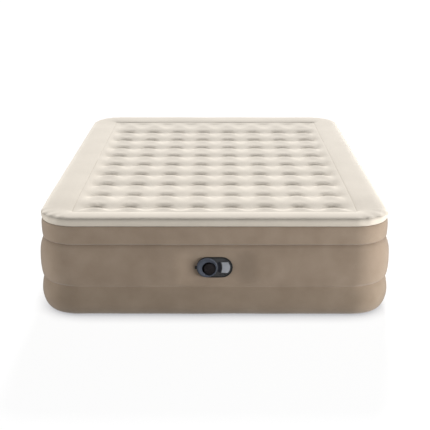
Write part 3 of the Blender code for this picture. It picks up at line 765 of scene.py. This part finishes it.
def ringed(radii, heights, depth):
    """Profile points with a shallow groove in the middle of each step outward."""
    points = []
    for inner, outer, low, high in zip(radii, radii[1:], heights, heights[1:]):
        for share, drop in ((0.0, 0.0), (0.35, 0.0), (0.5, depth), (0.75, depth), (0.9, 0.0)):
            points.append((inner + (outer - inner) * share, low + (high - low) * share - drop))
    return points


def pump_dial():
    back, front = FACE_Y - KNOB_HIGH.y, FACE_Y - KNOB_LOW.y
    outer = KNOB_HIGH.x - KNOB_X
    radii = [0.0335 + 0.0022 * k for k in range(RIM_RINGS + 1)]
    heights = [front - 0.0018, front - 0.0008, front - 0.0001, front - 0.0001]
    knob = turned("dial_finish", [
        (0.0, front - 0.0040), (0.0300, front - 0.0030)] + ringed(radii, heights, 0.0004)
        + [(outer - 0.0028, front - 0.0002), (outer - 0.0010, front - 0.0010),
           (outer - 0.0002, front - 0.0024), (outer, back + 0.0006), (outer - 0.0008, back),
           (0.0, back)], SLATE)
    well = turned("dial_well", [
        (0.0, back - 0.002), (WELL_R, back - 0.002), (WELL_R, front - 0.0042),
        (WELL_R + 0.0016, front - 0.0014), (WELL_R + 0.0024, front + 0.001),
        (0.0, front + 0.001)], SLATE, WELL_X, WELL_Z)
    subtract(knob, well)
    tidy_solid(knob)
    place(knob, "dial", "slate_plastic", "control_knob")
    low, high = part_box("knob_grille")
    floor, dome = FACE_Y - high.y, FACE_Y - low.y
    radii = [GRILLE_R * k / GRILLE_RINGS for k in range(GRILLE_RINGS + 1)]
    heights = [dome - (dome - floor) * 0.5 * (r / GRILLE_R) ** 2 for r in radii]
    grille = turned("grille_finish", ringed(radii, heights, 0.0009)
                    + [(GRILLE_R, heights[-1] - 0.0006), (GRILLE_R, floor), (0.0, floor)],
                    GRILLE, GRILLE_X, GRILLE_Z)
    place(grille, "dial", "black_plastic", "knob_grille")


def crescent(inner, outer, low, high, steps=16):
    """Outline between two arcs about the dial axis, angles in degrees."""
    angles = [math.radians(low + (high - low) * k / steps) for k in range(steps + 1)]
    return ([(outer * math.cos(a), outer * math.sin(a)) for a in angles]
            + [(inner * math.cos(a), inner * math.sin(a)) for a in reversed(angles)])


def pump_face():
    refine("pump_bezel", "root", "charcoal_plastic", 0.0010, BEZEL)
    refine("face_plate", "root", "charcoal_plastic", 0.0003, CHARCOAL)
    refine("cord_door", "cord_door_body", "charcoal_plastic", 0.0004, CHARCOAL)
    refine("door_label", "cord_door_body", "label_plastic", 0.0002, LABEL)
    # A dark crescent laid on the floor of the groove beside the dial: painted shade of that gap.
    recess = prism("recess_floor", crescent(0.0473, 0.0589, -23.5, 25.5), FACE_Y - 0.0022,
                   FACE_Y - 0.0019, RECESS_SHADE, (KNOB_X, PUMP_Z))
    place(recess, "root", "black_plastic")


# ---------------------------------------------------------------- carried-over CAD nodes
def paint_frame():
    """Give every CAD node the material of its slot."""
    for part in frame["record"]["subparts"]:
        node = frame["nodes"][part["node"]]
        look = SLOT_LOOKS[part["material_slot"]]
        node.data.materials.clear()
        node.data.materials.append(look)


# ---------------------------------------------------------------- studio
SUN_BEARING = 5                      # degrees to the right of straight behind the bed
SUN_HEIGHT = 24                      # degrees above the horizon
FLOOR_REACH = 300                    # metres from the bed to the edge of the floor
FLOOR_GAP = 0.0005                   # keeps the floor just under the bed's underside


def studio():
    """White backdrop, a low sun from behind and three soft lights."""
    world = bpy.data.worlds.new("studio")
    bpy.context.scene.world = world
    world.use_nodes = True
    background = world.node_tree.nodes["Background"]
    background.inputs["Color"].default_value = (1, 1, 1, 1)
    camera_only(world.node_tree, background.inputs["Strength"], 0.15, 1.0)
    far = FLOOR_REACH
    floor = mesh_object("floor", [(-far, -far, 0), (far, -far, 0), (far, far, 0), (-far, far, 0)],
                        [(0, 1, 2, 3)], floor_look(), False)
    floor.location.z = -FLOOR_GAP
    bearing, height = math.radians(SUN_BEARING), math.radians(SUN_HEIGHT)
    towards = Vector((math.sin(bearing) * math.cos(height), math.cos(bearing) * math.cos(height),
                      math.sin(height)))
    key = light("key", "SUN", towards * 6, (0, 0, 0), 5.40)
    key.data.angle = math.radians(12)
    for name, at, power, tall in (("fill", (1.8, -5.2, 2.20), 12, 0.5),
                                  ("right", (4.6, -2.4, 0.28), 235, 0.3),
                                  ("left", (-4.8, -2.0, 0.28), 115, 0.3)):
        strip = light(name, "AREA", at, (0, -0.6, 0.25), power)
        strip.data.shape = "RECTANGLE"
        strip.data.size = 2.6
        strip.data.size_y = tall
    bpy.context.scene.view_settings.view_transform = "Standard"


def camera_only(tree, socket, lighting, seen):
    """Feed a socket one value for light bounces and another for what the camera sees."""
    path = tree.nodes.new("ShaderNodeLightPath")
    choice = tree.nodes.new("ShaderNodeMapRange")
    choice.inputs["To Min"].default_value = lighting
    choice.inputs["To Max"].default_value = seen
    tree.links.new(path.outputs["Is Camera Ray"], choice.inputs["Value"])
    tree.links.new(choice.outputs["Result"], socket)


def floor_look():
    """White sweep: evenly bright, with a painted contact shadow that darkens its glow only where the bed
    touches it.
    """
    made, nodes, links, shader = shader_for("studio_floor", 0.9)
    shader.inputs["Base Color"].default_value = (0.2, 0.2, 0.2, 1)
    shader.inputs["Specular IOR Level"].default_value = 0.0
    camera_only(made.node_tree, shader.inputs["Emission Strength"], 0.08, 1.0)
    # Painted contact shadow: ambient occlusion darkens the floor's glow near the bed.
    contact = nodes.new("ShaderNodeAmbientOcclusion")
    contact.inputs["Distance"].default_value = 0.13
    contact.samples = 8
    shade = ramp_node(nodes, links, contact.outputs["AO"], 0.05, 0.75, (0.42, 0.42, 0.44, 1),
                      (0.92, 0.92, 0.92, 1))
    links.new(shade.outputs["Color"], shader.inputs["Emission Color"])
    return made


def light(name, kind, at, aim, power):
    data = bpy.data.lights.new(name, kind)
    data.energy = power
    made = bpy.data.objects.new(name, data)
    bpy.context.scene.collection.objects.link(made)
    made.location = at
    made.rotation_euler = (Vector(aim) - Vector(at)).to_track_quat("-Z", "Y").to_euler()
    return made


# ---------------------------------------------------------------- assembly
paint_frame()
side_bands()
seams()
quilt()
pump_dial()
pump_face()
studio()
